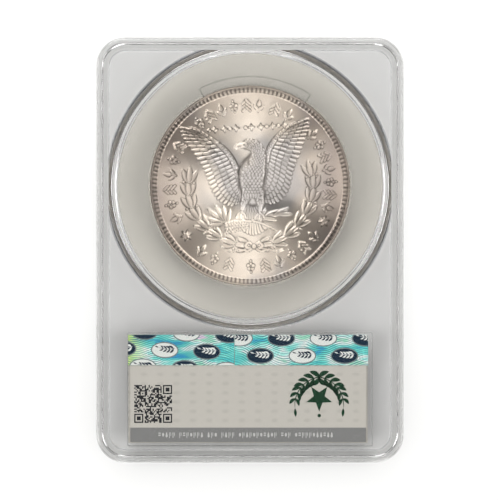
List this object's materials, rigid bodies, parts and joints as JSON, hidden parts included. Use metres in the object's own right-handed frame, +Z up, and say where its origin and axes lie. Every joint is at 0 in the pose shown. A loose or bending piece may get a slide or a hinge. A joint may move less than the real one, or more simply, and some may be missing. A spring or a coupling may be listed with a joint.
{
  "type": "graded coin slab",
  "caption": "Sealed clear two-part case with a large silver coin in a clear insert, and a label pack with a foil strip beside it. Lies on its front face.",
  "frame": {"origin": "under the slab's centre, in the plane of the front rim, on which the slab lies", "axes": "+Z up out of the back of the slab, the side that shows the coin's reverse; +Y from the label end to the coin end; +X to the right seen from above"},
  "size_m": [0.0582, 0.0806, 0.008],
  "materials": {
    "shell_plastic": "clear, polished",
    "insert_plastic": "translucent, smooth",
    "coin_silver": "frosted mint silver",
    "label_paper": "printed, satin",
    "hologram_foil": "iridescent foil"
  },
  "bodies": {
    "root": {"back_shell": "shell_plastic", "front_shell": "shell_plastic", "coin_insert": "insert_plastic", "coin": "coin_silver", "back_label": "label_paper", "front_label": "label_paper", "hologram_strip_left": "hologram_foil", "hologram_strip_right": "hologram_foil"}
  },
  "joints": []
}
